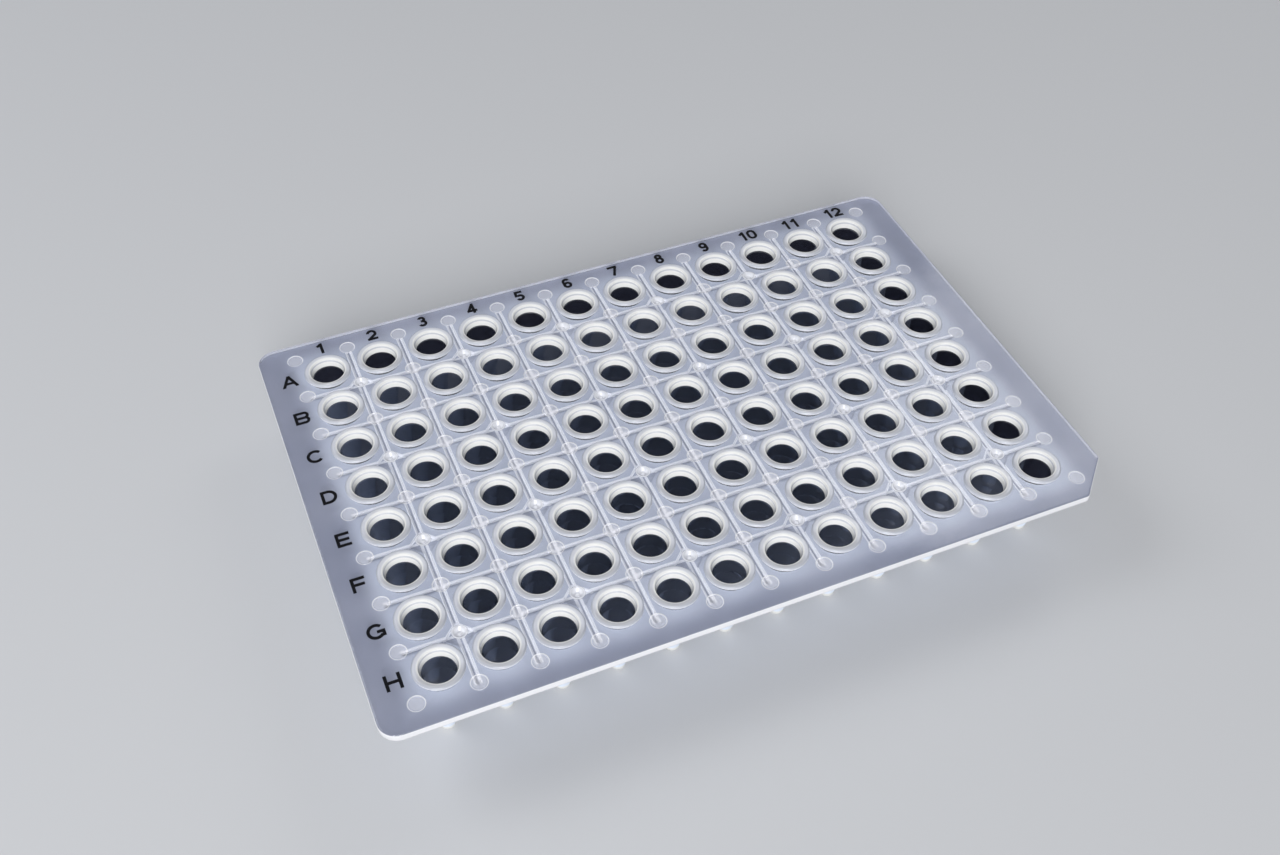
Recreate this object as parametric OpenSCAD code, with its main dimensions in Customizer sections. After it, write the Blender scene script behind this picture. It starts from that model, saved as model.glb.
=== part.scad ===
// Low-profile well plate without a skirt: 96 thin conical wells hang from a flat deck, moulded in
// one piece, with row letters and column numbers printed on the deck.
// Millimetres. +X runs along the numbered columns, +Y towards row A, and z = 0 is the plane of the
// well tips, under the middle of the plate.

/* [Well grid] */
// Number of well columns, numbered from the left
columns = 12; // [2:1:12]
// Number of well rows, lettered from the back
rows = 8; // [2:1:8]
// Distance between neighbouring well axes
pitch = 9; // [9:0.1:10]

/* [Deck] */
// Thickness of the deck
deck_thickness = 1.5; // [1.3:0.1:2]
// Width of the deck past the outer well axes, at its left and right ends
end_border = 10.5; // [10:0.5:14]
// Width of the deck past the outer well axes, at its front and back
side_border = 8.5; // [8.5:0.5:12]
// Radius of the three rounded corners
corner_radius = 3; // [2:0.5:4]
// Length taken off each side at the cut corner
corner_cut = 6.3; // [4:0.1:7]
// Radius where the cut meets the two sides
cut_radius = 0.8; // [0.6:0.1:1.5]
// Rounding along the upper and lower edges of the deck
edge_radius = 0.4; // [0.2:0.05:0.6]

/* [Ribs under the deck] */
// Width of a rib
rib_width = 0.8; // [0.6:0.1:1]
// Depth of a rib below the deck
rib_depth = 0.7; // [0.4:0.1:1]
// Length of a rib past the outer well axes
rib_overrun = 4.2; // [3.8:0.1:4.5]
// Length from the centre of a gate pad to its corners
gate_pad_reach = 2.4; // [1.8:0.1:2.6]

/* [Gates and pin marks] */
// Diameter of a gate's dish where it meets the deck
gate_dish_diameter = 1.9; // [1.6:0.1:2.2]
// Diameter of the dish's floor
gate_floor_diameter = 0.9; // [0.8:0.1:1.2]
// Depth of the dish
gate_dish_depth = 0.5; // [0.3:0.1:0.8]
// Diameter of the gate's stub on the floor of the dish
gate_stub_diameter = 0.6; // [0.4:0.1:0.7]
// Height of the stub
gate_stub_height = 0.2; // [0.1:0.05:0.25]
// Diameter of a moulding pin's mark
pin_mark_diameter = 2.6; // [2:0.1:3]
// Depth of a moulding pin's mark
pin_mark_depth = 0.1; // [0.05:0.05:0.2]

/* [Wells] */
// Height of the cone, from the tip to the shoulder
cone_height = 10.4; // [8:0.1:12]
// Angle between opposite sides of the cone
cone_angle = 18; // [16:0.5:20]
// Outer diameter of the cone at the shoulder
shoulder_diameter = 5.8; // [5.6:0.1:5.9]
// Radius round the edge of the flat tip
tip_radius = 0.35; // [0.2:0.05:0.5]
// Wall of the cone
cone_wall = 0.3; // [0.25:0.05:0.4]
// Thickness of the floor at the tip
floor_thickness = 0.4; // [0.3:0.05:0.6]
// Radius round the floor inside the well
floor_radius = 0.3; // [0.2:0.05:0.4]
// Outer diameter of the neck between the shoulder and the deck
neck_diameter = 6; // [6:0.05:6.3]
// Height of the neck, from the shoulder to the underside of the deck
neck_height = 2.9; // [2:0.1:4]
// Bore of the neck, where a cap's plug or a seal goes in
neck_bore_diameter = 5.2; // [5.1:0.05:5.3]
// Radius where the neck meets the underside of the deck
root_radius = 0.5; // [0.3:0.1:0.6]

/* [Rims] */
// Height of a rim above the deck
rim_height = 0.4; // [0.3:0.05:0.8]
// Outer diameter of a rim
rim_diameter = 7.7; // [7.4:0.1:8]
// Radius round the outer top edge of a rim
rim_radius = 0.2; // [0.1:0.05:0.25]
// Inner diameter of the flat ring on top of a rim, where a film seals
land_inner_diameter = 6.6; // [6.4:0.1:6.8]
// Diameter of the well's mouth, below the bevel inside the rim
mouth_diameter = 5.8; // [5.6:0.1:6]
// Depth of the bevel from the top of the rim to the mouth
mouth_bevel_depth = 0.15; // [0.1:0.05:0.2]
// Depth below the deck's upper face at which the mouth has narrowed to the neck's bore
mouth_taper_depth = 1; // [0.6:0.1:1.2]

/* [Printing] */
// Height of the row letters
letter_height = 2.7; // [2.2:0.1:3]
// Height of the column numbers
digit_height = 2.5; // [2:0.1:2.6]
// Width of a printed stroke
stroke = 0.5; // [0.3:0.05:0.55]
// Thickness of the ink
ink_thickness = 0.05; // [0.02:0.01:0.08]
// Distance from the first column's axis to the middle of the letters
letter_offset = 6.5; // [6.3:0.1:8]
// Distance from the first row's axis to the middle of the numbers
digit_offset = 5.9; // [5.7:0.1:6.2]
// Sideways shift of the numbers from their columns' axes
digit_shift = 0.2; // [-0.4:0.1:0.4]

/* [Hidden] */
$fn = 48;

// Places of the well axes, and the size of the deck round them
column_x = [for (c = [0:columns - 1]) (c - (columns - 1) / 2) * pitch];
row_y = [for (r = [0:rows - 1]) ((rows - 1) / 2 - r) * pitch];
column_gap_x = [for (c = [0:columns - 2]) column_x[c] + pitch / 2];
row_gap_y = [for (r = [0:rows - 2]) row_y[r] - pitch / 2];
half_length = column_x[columns - 1] + end_border;
half_width = row_y[0] + side_border;

// Heights
deck_bottom = cone_height + neck_height;
deck_top = deck_bottom + deck_thickness;
rim_top = deck_top + rim_height;

// The cone's slope, and its radius outside and inside at a height z
half_angle = cone_angle / 2;
function cone_outside(z) = shoulder_diameter / 2 - (cone_height - z) * tan(half_angle);
function cone_inside(z) = cone_outside(z) - cone_wall / cos(half_angle);
// Centre of an arc of radius r that touches a flat at height z and a side of radius side_r there
function arc_centre(side_r, z, r) = [side_r + r * tan(half_angle) - r / cos(half_angle), z + r];
// Where that arc meets the sloping side
function arc_end(centre, r) = centre + r * [cos(half_angle), -sin(half_angle)];

// How far a cut runs past the face that it opens
cut_past = 1;

// ---- Deck ----

// Section through the deck's edge, from x = 0 out to a rounded end at x = reach
module edge_section(reach) {
    square([reach - edge_radius, deck_thickness]);
    translate([0, edge_radius]) square([reach, deck_thickness - 2 * edge_radius]);
    for (z = [edge_radius, deck_thickness - edge_radius])
        translate([reach - edge_radius, z]) circle(edge_radius);
}

// Straight piece of edge that starts at a point, runs along a heading and faces to its right
module edge_strip(start, heading, run) {
    translate(start) rotate(heading) translate([run, 0, 0]) rotate([90, 0, -90])
        linear_extrude(run) edge_section(cut_radius);
}

// Pie-shaped corner of the deck with a rounded edge
module edge_corner(centre, start_angle, sweep, reach) {
    translate(centre) rotate(start_angle) rotate_extrude(angle = sweep) edge_section(reach);
}

module deck() {
    // The outline inset by cut_radius, which the edge strips then surround
    x = half_length - cut_radius;
    y = half_width - cut_radius;
    notch = corner_radius - cut_radius;
    bend = corner_cut + cut_radius * (sqrt(2) - 1) - cut_radius;
    cut_right = [x, -y + bend];
    cut_front = [x - bend, -y];
    back_right = [x - notch, y - notch];
    back_left = [-x + notch, y - notch];
    front_left = [-x + notch, -y + notch];
    linear_extrude(deck_thickness) polygon([
        cut_front, cut_right,
        [x, back_right.y], back_right, [back_right.x, y],
        [back_left.x, y], back_left, [-x, back_left.y],
        [-x, front_left.y], front_left, [front_left.x, -y]
    ]);
    edge_corner(back_right, 0, 90, corner_radius);
    edge_corner(back_left, 90, 90, corner_radius);
    edge_corner(front_left, 180, 90, corner_radius);
    edge_corner(cut_front, 270, 45, cut_radius);
    edge_corner(cut_right, 315, 45, cut_radius);
    edge_strip([front_left.x, -y], 0, cut_front.x - front_left.x);
    edge_strip(cut_front, 45, norm(cut_right - cut_front));
    edge_strip(cut_right, 90, back_right.y - cut_right.y);
    edge_strip([back_right.x, y], 180, back_right.x - back_left.x);
    edge_strip([-x, back_left.y], 270, back_left.y - front_left.y);
}

// One rib, with round ends, centred on the origin
module rib(run) {
    square([run, rib_width], center = true);
    for (end = [-run / 2, run / 2]) translate([end, 0]) circle(d = rib_width);
}

// Every gate serves the four wells round it
module at_gates() {
    for (c = [0:2:columns - 2], r = [0:2:rows - 2])
        translate([column_gap_x[c], row_gap_y[r]]) children();
}

module ribs() {
    past = 2 * rib_overrun - rib_width;
    linear_extrude(rib_depth) {
        for (x = column_gap_x) translate([x, 0]) rotate(90) rib((rows - 1) * pitch + past);
        for (y = row_gap_y) translate([0, y]) rib((columns - 1) * pitch + past);
        at_gates() rotate(45) square(gate_pad_reach * sqrt(2), center = true);
    }
}

// Dish in the deck at a gate
module gate_dish() {
    slope = (gate_dish_diameter - gate_floor_diameter) / 2 / gate_dish_depth;
    translate([0, 0, deck_top - gate_dish_depth])
        cylinder(d1 = gate_floor_diameter, h = gate_dish_depth + cut_past,
            d2 = gate_dish_diameter + 2 * slope * cut_past);
}

module gate_stub() {
    translate([0, 0, deck_top - gate_dish_depth])
        cylinder(d = gate_stub_diameter, h = gate_stub_height);
}

// Pins pushed the plate out of its mould between the wells and round them, but for the gates
module pin_marks() {
    for (c = [-1:columns - 1], r = [-1:rows - 1])
        if (!(c % 2 == 0 && r % 2 == 0 && c < columns - 1 && r < rows - 1))
            translate([column_x[0] + (c + 0.5) * pitch, row_y[0] - (r + 0.5) * pitch,
                deck_top - pin_mark_depth])
                cylinder(d = pin_mark_diameter, h = pin_mark_depth + cut_past);
}

// ---- Wells ----

// Half section of a well's outside, from the tip to the top of the rim
module well_outside() {
    neck_r = neck_diameter / 2;
    rim_r = rim_diameter / 2;
    tip_arc = arc_centre(cone_outside(0), 0, tip_radius);
    mid_deck = deck_bottom + deck_thickness / 2;
    difference() {
        polygon([
            [0, 0], [tip_arc.x, 0], tip_arc, arc_end(tip_arc, tip_radius),
            [shoulder_diameter / 2, cone_height],
            [neck_r, cone_height + neck_r - shoulder_diameter / 2],
            [neck_r, deck_bottom - root_radius],
            [neck_r + root_radius, deck_bottom - root_radius],
            [neck_r + root_radius, mid_deck], [rim_r, mid_deck],
            [rim_r, rim_top - rim_radius], [rim_r - rim_radius, rim_top - rim_radius],
            [rim_r - rim_radius, rim_top], [0, rim_top]
        ]);
        translate([neck_r + root_radius, deck_bottom - root_radius]) circle(root_radius);
    }
    translate(tip_arc) circle(tip_radius);
    translate([rim_r - rim_radius, rim_top - rim_radius]) circle(rim_radius);
}

// Half section of the space inside a well, carried past the top of the rim
module well_inside() {
    bore_r = neck_bore_diameter / 2;
    mouth_r = mouth_diameter / 2;
    bevel = land_inner_diameter / 2 - mouth_r;
    floor_arc = arc_centre(cone_inside(floor_thickness), floor_thickness, floor_radius);
    cone_end = cone_height + (bore_r - cone_inside(cone_height)) / tan(half_angle);
    polygon([
        [0, floor_thickness], [floor_arc.x, floor_thickness], floor_arc,
        arc_end(floor_arc, floor_radius),
        [bore_r, cone_end], [bore_r, deck_top - mouth_taper_depth],
        [mouth_r, rim_top - mouth_bevel_depth], [mouth_r + bevel, rim_top],
        [mouth_r + bevel, rim_top + cut_past], [0, rim_top + cut_past]
    ]);
    translate(floor_arc) circle(floor_radius);
}

module at_wells() {
    for (x = column_x, y = row_y) translate([x, y]) children();
}

module plate() {
    color([0.80, 0.84, 0.90]) {
        difference() {
            union() {
                translate([0, 0, deck_bottom]) deck();
                translate([0, 0, deck_bottom - rib_depth]) ribs();
                at_wells() rotate_extrude() well_outside();
            }
            at_wells() rotate_extrude() well_inside();
            at_gates() gate_dish();
            pin_marks();
        }
        at_gates() gate_stub();
    }
}

// ---- Printing ----

// Straight stroke between two points on its centre line
module bar(from, to) {
    way = to - from;
    translate(from) rotate(atan2(way.y, way.x)) translate([0, -stroke / 2]) square([norm(way), stroke]);
}

// Round stroke about a centre, from one angle to another, with its centre line at radius r
module bow(centre, r, from, to) {
    far = 2 * (r + stroke);
    translate(centre) intersection() {
        difference() {
            circle(r + stroke / 2);
            circle(r - stroke / 2);
        }
        polygon([[0, 0], for (i = [0:4]) far * [cos(from + (to - from) * i / 4), sin(from + (to - from) * i / 4)]]);
    }
}

// Full ring
module ring(centre, r) {
    translate(centre) difference() {
        circle(r + stroke / 2);
        circle(r - stroke / 2);
    }
}

// A letter of height h, centred on x = 0 and standing on y = 0. low, high and half are the centre
// lines of its lowest, highest and middle strokes, and side is that of its upright ones.
module letter(name, h) {
    low = stroke / 2;
    high = h - stroke / 2;
    half = h / 2;
    side = 0.36 * h;
    round_r = half - low;
    bowl_r = round_r / 2;
    if (name == "A") {
        intersection() {
            union() for (s = [-1, 1]) bar([s * 0.46 * h, -0.1 * h], [s * -0.04 * h, 1.05 * h]);
            translate([-h / 2, 0]) square([h, h]);
        }
        bar([-0.27 * h, 0.33 * h], [0.27 * h, 0.33 * h]);
    }
    if (name == "B") {
        bar([-side, 0], [-side, h]);
        for (y = [low, half, high]) bar([-side, y], [side - bowl_r, y]);
        for (y = [low, half]) bow([side - bowl_r, y + bowl_r], bowl_r, -90, 90);
    }
    if (name == "C") bow([0, half], round_r, 42, 318);
    if (name == "D") {
        bar([-side, 0], [-side, h]);
        for (y = [low, high]) bar([-side, y], [side - round_r, y]);
        bow([side - round_r, half], round_r, -90, 90);
    }
    if (name == "E" || name == "F") {
        bar([-side, 0], [-side, h]);
        bar([-side, high], [side, high]);
        bar([-side, half], [0.85 * side, half]);
        if (name == "E") bar([-side, low], [side, low]);
    }
    if (name == "G") {
        bow([0, half], round_r, 42, 325);
        bar([0.05 * h, 0.46 * h], [round_r + low, 0.46 * h]);
        bar([round_r, 0.12 * h], [round_r, 0.46 * h]);
    }
    if (name == "H") {
        for (s = [-1, 1]) bar([s * side, 0], [s * side, h]);
        bar([-side, half], [side, half]);
    }
}

// A digit of height h, placed as a letter is
module digit(name, h) {
    low = stroke / 2;
    high = h - stroke / 2;
    side = 0.26 * h;
    top_r = 0.45 * (high - low) / 2;
    foot_r = (high - low) / 2 - top_r;
    if (name == "0") {
        for (s = [-1, 1]) bar([s * side, low + side], [s * side, high - side]);
        bow([0, high - side], side, 0, 180);
        bow([0, low + side], side, 180, 360);
    }
    if (name == "1") {
        bar([0.08 * h, 0], [0.08 * h, h]);
        bar([-0.2 * h, 0.7 * h], [0.08 * h, high]);
    }
    if (name == "2") {
        bow([0, high - side], side, -35, 170);
        bar([side * cos(35), high - side - side * sin(35)], [-side, low]);
        bar([-side - low, low], [side + low, low]);
    }
    if (name == "3") {
        bow([0, high - top_r], top_r, -90, 155);
        bow([0, low + foot_r], foot_r, -155, 90);
        bar([-0.08 * h, high - 2 * top_r], [0, high - 2 * top_r]);
    }
    if (name == "4") {
        bar([0.12 * h, 0], [0.12 * h, h]);
        bar([-side - low, 0.26 * h], [side + low, 0.26 * h]);
        bar([-side, 0.26 * h], [0.12 * h, high]);
    }
    if (name == "5") {
        bar([-side, high], [side, high]);
        bar([-side, high - 2 * top_r - low], [-0.75 * side, h]);
        bow([0, low + foot_r], foot_r, -155, 135);
    }
    if (name == "6") {
        ring([0, low + foot_r], foot_r);
        bar([-foot_r, low + foot_r], [-foot_r, high - foot_r]);
        bow([0, high - foot_r], foot_r, 35, 180);
    }
    if (name == "7") {
        bar([-side - low, high], [side + low, high]);
        bar([side, high], [-0.1 * h, 0]);
    }
    if (name == "8") {
        ring([0, low + foot_r], foot_r);
        ring([0, high - top_r], top_r);
    }
    if (name == "9") translate([0, h]) rotate(180) digit("6", h);
}

// Ink lies on the deck's upper face
module printed() {
    translate([0, 0, deck_top]) linear_extrude(ink_thickness) children();
}

module row_letters() {
    names = "ABCDEFGH";
    color([0.05, 0.05, 0.06]) printed()
        for (r = [0:rows - 1])
            translate([column_x[0] - letter_offset, row_y[r] - letter_height / 2])
                letter(names[r], letter_height);
}

module column_numbers() {
    step = 0.72 * digit_height;
    color([0.05, 0.05, 0.06]) printed()
        for (c = [0:columns - 1]) {
            name = str(c + 1);
            for (i = [0:len(name) - 1])
                translate([column_x[c] + digit_shift + (i - (len(name) - 1) / 2) * step,
                    row_y[0] + digit_offset - digit_height / 2])
                    digit(name[i], digit_height);
        }
}

plate();
row_letters();
column_numbers();
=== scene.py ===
"""A clear moulded plate of 96 conical wells with printed indices, on a plain studio floor.

The plate is one moulding: a flat deck with raised rims, thin wells that hang from it, and ribs,
gates and pin marks between them. Every size is in metres, in the frame of the packed model: +X
runs along the numbered columns, +Y towards row A, and z = 0 is the plane of the well tips.
"""

import math

import bmesh
import bpy
from bpy.props import FloatProperty, FloatVectorProperty, IntProperty, PointerProperty
from mathutils import Matrix, Vector


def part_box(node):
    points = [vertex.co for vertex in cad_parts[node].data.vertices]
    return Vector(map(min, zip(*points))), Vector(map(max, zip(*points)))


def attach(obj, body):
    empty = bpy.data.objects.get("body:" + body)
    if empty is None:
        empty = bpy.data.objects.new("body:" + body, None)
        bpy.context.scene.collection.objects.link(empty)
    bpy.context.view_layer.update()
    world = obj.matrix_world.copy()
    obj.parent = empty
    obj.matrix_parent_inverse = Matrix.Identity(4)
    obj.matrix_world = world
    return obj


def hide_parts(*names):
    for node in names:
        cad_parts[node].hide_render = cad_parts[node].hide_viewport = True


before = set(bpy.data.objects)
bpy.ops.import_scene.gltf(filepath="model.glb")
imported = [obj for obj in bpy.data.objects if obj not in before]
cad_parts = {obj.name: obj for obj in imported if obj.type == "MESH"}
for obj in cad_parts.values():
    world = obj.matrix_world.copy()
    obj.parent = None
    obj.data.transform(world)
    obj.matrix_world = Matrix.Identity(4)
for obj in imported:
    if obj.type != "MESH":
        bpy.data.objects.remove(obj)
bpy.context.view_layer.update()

bl_info = {
    "name": "Conical Well Plate",
    "version": (1, 0, 0),
    "blender": (4, 5, 0),
    "location": "View3D > Sidebar > Well Plate",
    "description": "Builds a clear moulded plate of conical wells, its printing and a studio stage",
    "category": "Object",
}

MM = 0.001
PLATE_LOW, PLATE_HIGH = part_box("plate")
# Points closer than this are one point.
SNAP = 1e-6
# How far a body reaches into the one that it joins or cuts
EMBED = 0.3 * MM
# Soft edge of a zone of the plastic
EDGE = 0.05 * MM
# Offset that keeps faces of crossing ribs and pads out of one plane
HAIR = 0.005 * MM
# Z part of a face's normal where the face starts to count as steep, and where it fully does
STEEPNESS = (0.8, 0.5)
# Stretches of the noise over which the pale patches and the rough grains come in
FLOW_RANGE = (0.35, 0.7)
GRAIN_RANGE = (0.3, 0.7)
# Least and most roughness, as factors of the setting
ROUGHNESS_SPREAD = (0.6, 1.6)
# Width of the camera's sensor, in millimetres
SENSOR_WIDTH = 36
# Steps of the deck's round corners, of its rounded edges, of the ends of ribs and of small roundings
CORNER_STEPS = 8
EDGE_STEPS = 4
RIB_END_STEPS = 5
SMALL_STEPS = 3
# Steps round a gate's dish, a pin mark and a gate's stub, and in the rounding on top of the stub
DISH_STEPS = 24
MARK_STEPS = 32
STUB_STEPS = 16
STUB_EDGE_STEPS = 2
# Edges that turn more than this stay sharp, and large faces bend the shading by this weight.
SHARP_ANGLE = math.radians(32)
FACE_WEIGHT = 60


# ---- Settings ----


def length(name, description, millimetres):
    """A length that the user can change, with its default given in millimetres."""
    return FloatProperty(
        name=name, description=description, default=millimetres * MM, min=0, unit="LENGTH", precision=5
    )


def share(name, description, default):
    """A number from 0 to 1."""
    return FloatProperty(
        name=name, description=description, default=default, min=0, max=1, subtype="FACTOR"
    )


def angle(name, description, degrees):
    """An angle that the user can change, with its default given in degrees."""
    return FloatProperty(
        name=name, description=description, default=math.radians(degrees), subtype="ANGLE"
    )


def number(name, description, default, least=0):
    """A plain number."""
    return FloatProperty(name=name, description=description, default=default, min=least)


def point(name, description, metres):
    """A place or an offset, in metres."""
    return FloatVectorProperty(name=name, description=description, default=metres, size=3, unit="LENGTH")


def extent(name, description, metres):
    """The width and height of a lamp, in metres."""
    return FloatVectorProperty(name=name, description=description, default=metres, size=2, unit="LENGTH")


def power(name, description, watts):
    """A lamp's power."""
    return FloatProperty(name=name, description=description, default=watts, min=0, unit="POWER")


def whole(name, description, default, least):
    """A whole number."""
    return IntProperty(name=name, description=description, default=default, min=least)


def colour(name, description, default):
    """A linear colour."""
    return FloatVectorProperty(
        name=name, description=description, default=default, min=0, max=1, size=3, subtype="COLOR"
    )


class WellGrid(bpy.types.PropertyGroup):
    """Where the wells are."""

    columns: whole("Columns", "Well columns, numbered from the left", 12, 2)
    rows: whole("Rows", "Well rows, lettered from the back", 8, 2)
    pitch: length("Pitch", "Distance between neighbouring well axes", 9)


class DeckSizes(bpy.types.PropertyGroup):
    """The flat deck and what is moulded on it between the wells."""

    thickness: length("Thickness", "Thickness of the deck", 1.5)
    corner_radius: length("Corner Radius", "Radius of the three rounded corners", 3)
    corner_cut: length("Corner Cut", "Length taken off each side at the cut corner", 6.3)
    cut_radius: length("Cut Radius", "Radius where the cut meets the two sides", 0.8)
    edge_radius: length("Edge Radius", "Rounding along the upper and lower edges", 0.4)
    rib_width: length("Rib Width", "Width of a rib under the deck", 0.8)
    rib_depth: length("Rib Depth", "Depth of a rib below the deck", 0.7)
    rib_overrun: length("Rib Overrun", "Length of a rib past the outer well axes", 4.2)
    rib_edge: length("Rib Edge", "Rounding along the lower edges of the ribs", 0.22)
    pad_reach: length("Pad Reach", "From the centre of a gate pad to its corners", 2.4)
    dish_diameter: length("Dish Diameter", "Diameter of a gate's dish where it meets the deck", 1.9)
    dish_floor: length("Dish Floor", "Diameter of the dish's floor", 0.9)
    dish_depth: length("Dish Depth", "Depth of the dish", 0.5)
    stub_diameter: length("Stub Diameter", "Diameter of the gate's stub in the dish", 0.6)
    stub_height: length("Stub Height", "Height of the stub", 0.2)
    mark_diameter: length("Mark Diameter", "Diameter of a moulding pin's mark", 2.6)
    mark_depth: length("Mark Depth", "Depth of a moulding pin's mark", 0.1)


class WellSizes(bpy.types.PropertyGroup):
    """One well, from its tip to the top of its rim."""

    steps: whole("Steps", "Steps round a well", 36, 12)
    cone_height: length("Cone Height", "From the tip to the shoulder", 10.4)
    cone_angle: angle("Cone Angle", "Angle between opposite sides of the cone", 18)
    shoulder_diameter: length("Shoulder Diameter", "Outer diameter of the cone at the shoulder", 5.8)
    tip_radius: length("Tip Radius", "Radius round the edge of the flat tip", 0.35)
    cone_wall: length("Cone Wall", "Wall of the cone", 0.3)
    floor_thickness: length("Floor Thickness", "Thickness of the floor at the tip", 0.4)
    floor_radius: length("Floor Radius", "Radius round the floor inside the well", 0.3)
    neck_diameter: length("Neck Diameter", "Outer diameter between the shoulder and the deck", 6)
    bore_diameter: length("Bore Diameter", "Bore of the neck", 5.2)
    root_radius: length("Root Radius", "Radius where the neck meets the underside of the deck", 0.5)
    rim_height: length("Rim Height", "Height of a rim above the deck", 0.4)
    rim_diameter: length("Rim Diameter", "Outer diameter of a rim", 7.7)
    rim_radius: length("Rim Radius", "Radius round the outer top edge of a rim", 0.32)
    land_diameter: length("Land Diameter", "Inner diameter of the flat ring on top of a rim", 6.6)
    mouth_diameter: length("Mouth Diameter", "Diameter of the mouth, below the bevel inside the rim", 5.8)
    bevel_depth: length("Bevel Depth", "Depth of that bevel", 0.15)
    taper_depth: length("Taper Depth", "Depth below the deck's face at which the mouth meets the bore", 1)


class PlasticFinish(bpy.types.PropertyGroup):
    """The milky clear plastic. Its haze grows with its thickness. Some of its colours are painted light: a
    glow round the wells and at their tips, highlights along the ribs, at steps and round the pin marks,
    shade inside the wells, and a shadow and reflection inside the rims.
    """

    border_colour: colour("Border Colour", "Colour of the haze in the open border", (0.36, 0.38, 0.455))
    # The deck's colour by the wells is a painted glow that fades to the border's colour.
    deck_colour: colour("Deck Colour", "Colour of the haze in the deck by the wells", (0.52, 0.55, 0.63))
    rim_colour: colour("Rim Colour", "Colour of the haze in the rims", (0.70, 0.71, 0.755))
    slope_colour: colour("Slope Colour", "Colour of the haze in the slopes of the rims", (0.50, 0.52, 0.58))
    edge_colour: colour("Edge Colour", "Colour of the haze along the deck's outer edge", (0.80, 0.80, 0.82))
    mouth_colour: colour("Mouth Colour", "Colour of the haze inside the rims", (0.86, 0.86, 0.84))
    wall_colour: colour("Wall Colour", "Colour of the haze in the thin walls", (0.76, 0.83, 0.95))
    # The near-black tint inside the thin walls is painted shade that makes the wells look dark.
    inner_shade_colour: colour("Inner Colour", "Tint of the inside of the thin walls", (0.032, 0.035, 0.05))
    # A darker painted shade inside the wells where their walls face out of the grid, past row A and the
    # last column.
    outward_shade_colour: colour("Outward Colour", "Tint on the plate's outward sides", (0.002, 0.002, 0.004))
    # White is the colour of the painted highlights along the ribs, round the pin marks and at the steep
    # little faces, and of the paler flow patches.
    white: colour("White", "Colour of the haze along ribs and at steps", (0.92, 0.92, 0.94))

    deck_haze: share("Deck Haze", "Share of light that the deck's upper face scatters", 0.12)
    under_haze: share("Under Haze", "Share of light that the deck's underside scatters", 0.94)
    edge_haze: share("Edge Haze", "Share of light that the deck's outer edge scatters", 0.85)
    # Haze of the painted highlights at the steep little faces and along the ribs.
    step_haze: share("Step Haze", "Share of light that steps and the sides of ribs scatter", 0.98)
    # Gate Haze also whitens the well tips, which are a painted glow.
    gate_haze: share("Gate Haze", "Share of light that the plastic round a gate or in a tip scatters", 0.75)
    mark_haze: share("Mark Haze", "Share of light that the floor of a pin mark scatters", 0.3)
    # Haze of the painted highlight ring round a pin mark.
    mark_highlight_haze: share("Mark Step Haze", "Share of light that the step round a pin mark scatters", 0.5)
    rim_haze: share("Rim Haze", "Share of light that the top of a rim scatters", 0.7)
    slope_haze: share("Slope Haze", "Share of light that the outer slope of a rim scatters", 0.85)
    mouth_haze: share("Mouth Haze", "Share of light that the inside of a rim scatters", 0.95)
    # The band inside a rim is a painted shadow of the rib behind and a painted reflection of the bevel.
    painted_band_haze: share("Band Haze", "Share of light that the clearer band inside a rim scatters", 0.7)
    wall_haze: share("Wall Haze", "Share of light that the outside of a thin wall scatters", 0.85)
    inner_haze: share("Inner Haze", "Share of light that the inside of a thin wall scatters", 0.01)

    # Where the painted glow round each well starts to fade, and where it has gone.
    fade_start: length("Fade Start", "From a well's axis to where the deck starts to darken", 4)
    fade_end: length("Fade End", "From a well's axis to where the deck has the border's colour", 7.5)
    gap_glow: share("Gap Glow", "How much of the deck's paler colour shows midway between wells", 0.55)
    border_glow: share("Border Glow", "How much of it shows in the border beside a well", 0.3)
    edge_reach: length("Edge Reach", "Width of the strip that counts as the deck's outer edge", 1)
    gate_reach: length("Gate Reach", "From a gate to the end of the hazy plastic round it", 1.3)
    # Depth of that painted band.
    painted_band_depth: length("Band Depth", "From the deck's upper face down to the band's lower end", 0.4)
    # Top of the painted shade inside the wells.
    dark_rise: length("Dark Rise", "How far the walls' dark inside rises above the deck's underside", 0.3)
    # Width and inset of the painted highlight along each side of a rib.
    line_width: length("Line Width", "Width of the bright line along each side of a rib", 0.4)
    line_inset: length("Line Inset", "From a rib's side inwards to the start of its bright line", 0.24)
    # Depth of the painted shade beside a rib, and how far the rib's middle between its painted highlights
    # is set back to the border's colour.
    shaded_depth: share("Shaded Depth", "How far a rib's shaded line goes to the border's colour", 0.5)
    middle_depth: share("Middle Depth", "How far the middle of a rib goes to the border's colour", 0.7)

    roughness: share("Roughness", "How much the moulded surface blurs", 0.09)
    flow_size: length("Flow Size", "Size of the paler patches in the haze", 14)
    flow_strength: share("Flow Strength", "How pale those patches are", 0.08)
    rim_flow: share("Rim Flow", "How much of those patches shows in the rims", 0.4)
    grain_size: length("Grain Size", "Size of the fine unevenness of the surface", 0.9)
    grain_strength: share("Grain Strength", "Strength of that unevenness", 0.12)
    grain_depth: length("Grain Depth", "Depth of that unevenness", 0.02)
    refraction: number("Refraction", "Index of refraction", 1.49, 1)
    entering: share("Light Entering", "Share of a lamp's light that passes a face on its way in", 0.03)
    wall_entering: share("Light Entering Walls", "The same share at the outside of a thin wall", 0.9)
    inner_entering: share("Light Entering Inner Walls", "The same share at the inside of a thin wall", 0.03)


class InkFinish(bpy.types.PropertyGroup):
    """The printed letters and numbers."""

    colour: colour("Colour", "Colour of the ink", (0.004, 0.004, 0.006))
    roughness: share("Roughness", "Roughness of the dry ink", 0.6)
    gloss: share("Gloss", "How much the dry ink shines", 0.15)


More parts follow.
